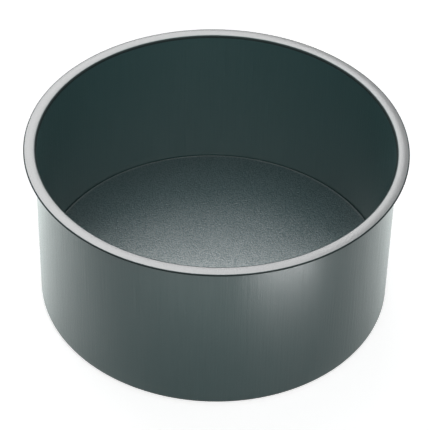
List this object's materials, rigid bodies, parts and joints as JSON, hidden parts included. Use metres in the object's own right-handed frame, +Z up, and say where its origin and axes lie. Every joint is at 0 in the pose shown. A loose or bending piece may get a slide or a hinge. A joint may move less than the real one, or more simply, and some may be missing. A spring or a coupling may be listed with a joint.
{
  "type": "deep round loose-base cake pan",
  "caption": "Deep straight-sided round baking pan of dark non-stick steel, with a flat turned-out rim, a rolled-in foot and a loose base that pushes up and out.",
  "frame": {"origin": "on the table plane, under the middle of the pan", "axes": "+Z up along the axis of the pan, out of its mouth; -Y towards the viewer of the picture"},
  "size_m": [0.1608, 0.1608, 0.0775],
  "materials": {
    "side_coating": "satin dark grey non-stick coating on carbon steel, with fine upright drawing marks",
    "base_coating": "satin dark grey non-stick coating on carbon steel, with a fine grain"
  },
  "bodies": {
    "side": {"pan_wall": "side_coating"},
    "base": {"loose_base": "base_coating"}
  },
  "joints": [
    {"name": "base_lift", "type": "slide", "parent": "side", "child": "base", "axis": [0, 0, 1], "range_m": [0, 0.085]}
  ]
}
